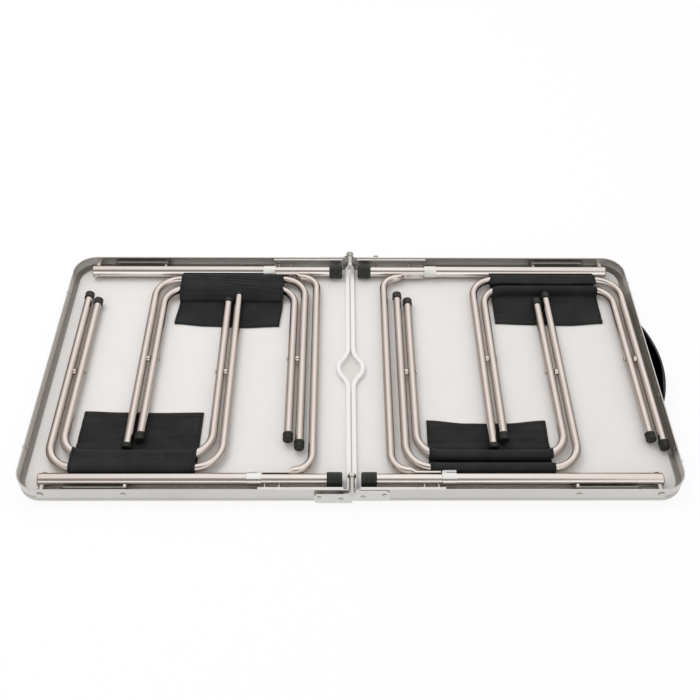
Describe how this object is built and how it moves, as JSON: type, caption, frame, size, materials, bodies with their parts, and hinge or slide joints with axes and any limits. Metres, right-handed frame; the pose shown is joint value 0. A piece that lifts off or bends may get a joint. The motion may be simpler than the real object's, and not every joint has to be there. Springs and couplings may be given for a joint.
{
  "type": "folding picnic table",
  "caption": "Suitcase-style folding picnic table, open with its underside up, with folding stools stowed in its trays.",
  "frame": {"origin": "middle of the parasol opening on the fold line, level with the tabletop's rim", "axes": "+X along the table towards the carry handle, +Y across the table towards the lock knob, +Z from the tabletop towards the underside, as the open table lies"},
  "size_m": [1.226, 0.6262, 0.0432],
  "materials": {
    "rim": "satin extruded aluminium",
    "panel": "painted board",
    "strip": "moulded edging",
    "plate": "satin plate",
    "fastener": "bright zinc",
    "hook": "zinc plated",
    "knob": "polished",
    "tube": "satin stainless",
    "clamp": "white moulded",
    "rubber": "black moulded",
    "handle": "black moulded",
    "fabric": "black polyester canvas"
  },
  "bodies": {
    "left_tray": {"left_rim": "rim", "left_panel": "panel", "left_fold_strip": "strip", "left_hinge_plates": "plate", "left_rivets": "fastener", "latch_studs": "fastener"},
    "right_tray": {"right_rim": "rim", "right_panel": "panel", "right_fold_strip": "strip", "right_hinge_plates": "plate", "right_rivets": "fastener", "hinge_bolts": "fastener", "carry_handle": "handle", "handle_screws": "fastener"},
    "latch_hook_front": {"latch_hook_front": "hook"},
    "latch_hook_back": {"latch_hook_back": "hook"},
    "lock_knob": {"lock_knob": "knob"},
    "left_upper_legs": {"left_upper_legs": "tube", "left_leg_collars": "clamp"},
    "left_lower_legs": {"left_lower_legs": "tube", "left_feet": "rubber", "left_leg_brace": "tube", "left_brace_rivets": "fastener"},
    "left_wall_stays": {"left_wall_stays": "tube"},
    "left_leg_stays": {"left_leg_stays": "tube"},
    "left_clamp_front": {"left_clamp_front": "clamp"},
    "left_clamp_back": {"left_clamp_back": "clamp"},
    "left_stools": {"stool_1_outer_frame": "tube", "stool_2_outer_frame": "tube", "left_stool_outer_caps": "rubber"},
    "right_upper_legs": {"right_upper_legs": "tube", "right_leg_collars": "clamp"},
    "right_lower_legs": {"right_lower_legs": "tube", "right_feet": "rubber", "right_leg_brace": "tube", "right_brace_rivets": "fastener"},
    "right_wall_stays": {"right_wall_stays": "tube"},
    "right_leg_stays": {"right_leg_stays": "tube"},
    "right_clamp_front": {"right_clamp_front": "clamp"},
    "right_clamp_back": {"right_clamp_back": "clamp"},
    "right_stools": {"stool_3_outer_frame": "tube", "stool_4_outer_frame": "tube", "right_stool_outer_caps": "rubber"},
    "stool_1_inner": {"stool_1_inner_frame": "tube", "stool_1_inner_caps": "rubber"},
    "stool_1_seat_outer": {"stool_1_seat_outer": "fabric"},
    "stool_1_seat_inner": {"stool_1_seat_inner": "fabric"},
    "stool_2_inner": {"stool_2_inner_frame": "tube", "stool_2_inner_caps": "rubber"},
    "stool_2_seat_outer": {"stool_2_seat_outer": "fabric"},
    "stool_2_seat_inner": {"stool_2_seat_inner": "fabric"},
    "stool_3_inner": {"stool_3_inner_frame": "tube", "stool_3_inner_caps": "rubber"},
    "stool_3_seat_outer": {"stool_3_seat_outer": "fabric"},
    "stool_3_seat_inner": {"stool_3_seat_inner": "fabric"},
    "stool_4_inner": {"stool_4_inner_frame": "tube", "stool_4_inner_caps": "rubber"},
    "stool_4_seat_outer": {"stool_4_seat_outer": "fabric"},
    "stool_4_seat_inner": {"stool_4_seat_inner": "fabric"}
  },
  "joints": [
    {"name": "fold", "type": "hinge", "parent": "left_tray", "child": "right_tray", "pos_m": [0, 0, 0.0352], "axis": [0, 1, 0], "range_deg": [-180, 0]},
    {"name": "latch_front", "type": "hinge", "parent": "right_tray", "child": "latch_hook_front", "pos_m": [0.602, -0.199, 0.022], "axis": [1, 0, 0], "range_deg": [-90, 0]},
    {"name": "latch_back", "type": "hinge", "parent": "right_tray", "child": "latch_hook_back", "pos_m": [0.602, 0.199, 0.022], "axis": [-1, 0, 0], "range_deg": [-90, 0]},
    {"name": "lock_pull", "type": "slide", "parent": "right_tray", "child": "lock_knob", "axis": [0, 1, 0], "range_m": [0, 0.006], "stiffness_N_per_m": 300},
    {"name": "left_leg_fold", "type": "hinge", "parent": "left_tray", "child": "left_upper_legs", "pos_m": [-0.552, 0, 0.02], "axis": [0, -1, 0], "range_deg": [0, 90]},
    {"name": "left_leg_extend", "type": "slide", "parent": "left_upper_legs", "child": "left_lower_legs", "axis": [1, 0, 0], "range_m": [0, 0.15]},
    {"name": "left_wall_stay", "type": "hinge", "parent": "left_tray", "child": "left_wall_stays", "pos_m": [-0.405, 0, 0.02], "axis": [0, -1, 0], "range_deg": [-45, 0]},
    {"name": "left_leg_stay", "type": "hinge", "parent": "left_upper_legs", "child": "left_leg_stays", "pos_m": [-0.405, 0, 0.02], "axis": [0, -1, 0], "range_deg": [0, 45]},
    {"name": "left_clamp_front", "type": "hinge", "parent": "left_upper_legs", "child": "left_clamp_front", "pos_m": [-0.166, -0.25789, 0.03061], "axis": [0, 0.7071, -0.7071], "range_deg": [0, 90]},
    {"name": "left_clamp_back", "type": "hinge", "parent": "left_upper_legs", "child": "left_clamp_back", "pos_m": [-0.166, 0.25789, 0.03061], "axis": [0, 0.7071, 0.7071], "range_deg": [0, 90]},
    {"name": "left_stools_lift", "type": "slide", "parent": "left_tray", "child": "left_stools", "axis": [0, 0, 1], "range_m": [0, 0.25], "deforming": ["stool_1_seat_outer", "stool_1_seat_inner", "stool_2_seat_outer", "stool_2_seat_inner"]},
    {"name": "stool_1_open", "type": "hinge", "parent": "left_stools", "child": "stool_1_inner", "pos_m": [-0.396, -0.017, 0.02], "axis": [-1, 0, 0], "range_deg": [0, 64.01]},
    {"name": "stool_1_seat_outer_turn", "type": "hinge", "parent": "left_stools", "child": "stool_1_seat_outer", "pos_m": [-0.396, -0.243, 0.02], "axis": [1, 0, 0], "range_deg": [0, 52.21]},
    {"name": "stool_1_seat_inner_turn", "type": "hinge", "parent": "stool_1_inner", "child": "stool_1_seat_inner", "pos_m": [-0.396, -0.215, 0.02], "axis": [-1, 0, 0], "range_deg": [0, 63.81]},
    {"name": "stool_2_open", "type": "hinge", "parent": "left_stools", "child": "stool_2_inner", "pos_m": [-0.256, 0.017, 0.02], "axis": [1, 0, 0], "range_deg": [0, 64.01]},
    {"name": "stool_2_seat_outer_turn", "type": "hinge", "parent": "left_stools", "child": "stool_2_seat_outer", "pos_m": [-0.256, 0.243, 0.02], "axis": [-1, 0, 0], "range_deg": [0, 52.21]},
    {"name": "stool_2_seat_inner_turn", "type": "hinge", "parent": "stool_2_inner", "child": "stool_2_seat_inner", "pos_m": [-0.256, 0.215, 0.02], "axis": [1, 0, 0], "range_deg": [0, 63.81]},
    {"name": "right_leg_fold", "type": "hinge", "parent": "right_tray", "child": "right_upper_legs", "pos_m": [0.552, 0, 0.02], "axis": [0, 1, 0], "range_deg": [0, 90]},
    {"name": "right_leg_extend", "type": "slide", "parent": "right_upper_legs", "child": "right_lower_legs", "axis": [-1, 0, 0], "range_m": [0, 0.15]},
    {"name": "right_wall_stay", "type": "hinge", "parent": "right_tray", "child": "right_wall_stays", "pos_m": [0.405, 0, 0.02], "axis": [0, 1, 0], "range_deg": [-45, 0]},
    {"name": "right_leg_stay", "type": "hinge", "parent": "right_upper_legs", "child": "right_leg_stays", "pos_m": [0.405, 0, 0.02], "axis": [0, 1, 0], "range_deg": [0, 45]},
    {"name": "right_clamp_front", "type": "hinge", "parent": "right_upper_legs", "child": "right_clamp_front", "pos_m": [0.166, -0.25789, 0.03061], "axis": [0, -0.7071, 0.7071], "range_deg": [0, 90]},
    {"name": "right_clamp_back", "type": "hinge", "parent": "right_upper_legs", "child": "right_clamp_back", "pos_m": [0.166, 0.25789, 0.03061], "axis": [0, -0.7071, -0.7071], "range_deg": [0, 90]},
    {"name": "right_stools_lift", "type": "slide", "parent": "right_tray", "child": "right_stools", "axis": [0, 0, 1], "range_m": [0, 0.25], "deforming": ["stool_3_seat_outer", "stool_3_seat_inner", "stool_4_seat_outer", "stool_4_seat_inner"]},
    {"name": "stool_3_open", "type": "hinge", "parent": "right_stools", "child": "stool_3_inner", "pos_m": [0.259, -0.017, 0.02], "axis": [-1, 0, 0], "range_deg": [0, 64.01]},
    {"name": "stool_3_seat_outer_turn", "type": "hinge", "parent": "right_stools", "child": "stool_3_seat_outer", "pos_m": [0.259, -0.243, 0.02], "axis": [1, 0, 0], "range_deg": [0, 52.21]},
    {"name": "stool_3_seat_inner_turn", "type": "hinge", "parent": "stool_3_inner", "child": "stool_3_seat_inner", "pos_m": [0.259, -0.215, 0.02], "axis": [-1, 0, 0], "range_deg": [0, 63.81]},
    {"name": "stool_4_open", "type": "hinge", "parent": "right_stools", "child": "stool_4_inner", "pos_m": [0.423, 0.017, 0.02], "axis": [1, 0, 0], "range_deg": [0, 64.01]},
    {"name": "stool_4_seat_outer_turn", "type": "hinge", "parent": "right_stools", "child": "stool_4_seat_outer", "pos_m": [0.423, 0.243, 0.02], "axis": [-1, 0, 0], "range_deg": [0, 52.21]},
    {"name": "stool_4_seat_inner_turn", "type": "hinge", "parent": "stool_4_inner", "child": "stool_4_seat_inner", "pos_m": [0.423, 0.215, 0.02], "axis": [1, 0, 0], "range_deg": [0, 63.81]}
  ],
  "couplings": [
    {"joint": "left_leg_extend", "follows": "left_leg_fold", "m_per_rad": 0.094856},
    {"joint": "left_wall_stay", "follows": "left_leg_fold", "ratio": -0.4999},
    {"joint": "left_leg_stay", "follows": "left_leg_fold", "ratio": 0.4999},
    {"joint": "stool_1_open", "follows": "left_stools_lift", "rad_per_m": 4.468},
    {"joint": "stool_1_seat_outer_turn", "follows": "left_stools_lift", "rad_per_m": 3.6442},
    {"joint": "stool_1_seat_inner_turn", "follows": "left_stools_lift", "rad_per_m": 4.4541},
    {"joint": "stool_2_open", "follows": "left_stools_lift", "rad_per_m": 4.468},
    {"joint": "stool_2_seat_outer_turn", "follows": "left_stools_lift", "rad_per_m": 3.6442},
    {"joint": "stool_2_seat_inner_turn", "follows": "left_stools_lift", "rad_per_m": 4.4541},
    {"joint": "right_leg_extend", "follows": "right_leg_fold", "m_per_rad": 0.094856},
    {"joint": "right_wall_stay", "follows": "right_leg_fold", "ratio": -0.4999},
    {"joint": "right_leg_stay", "follows": "right_leg_fold", "ratio": 0.4999},
    {"joint": "stool_3_open", "follows": "right_stools_lift", "rad_per_m": 4.468},
    {"joint": "stool_3_seat_outer_turn", "follows": "right_stools_lift", "rad_per_m": 3.6442},
    {"joint": "stool_3_seat_inner_turn", "follows": "right_stools_lift", "rad_per_m": 4.4541},
    {"joint": "stool_4_open", "follows": "right_stools_lift", "rad_per_m": 4.468},
    {"joint": "stool_4_seat_outer_turn", "follows": "right_stools_lift", "rad_per_m": 3.6442},
    {"joint": "stool_4_seat_inner_turn", "follows": "right_stools_lift", "rad_per_m": 4.4541}
  ]
}
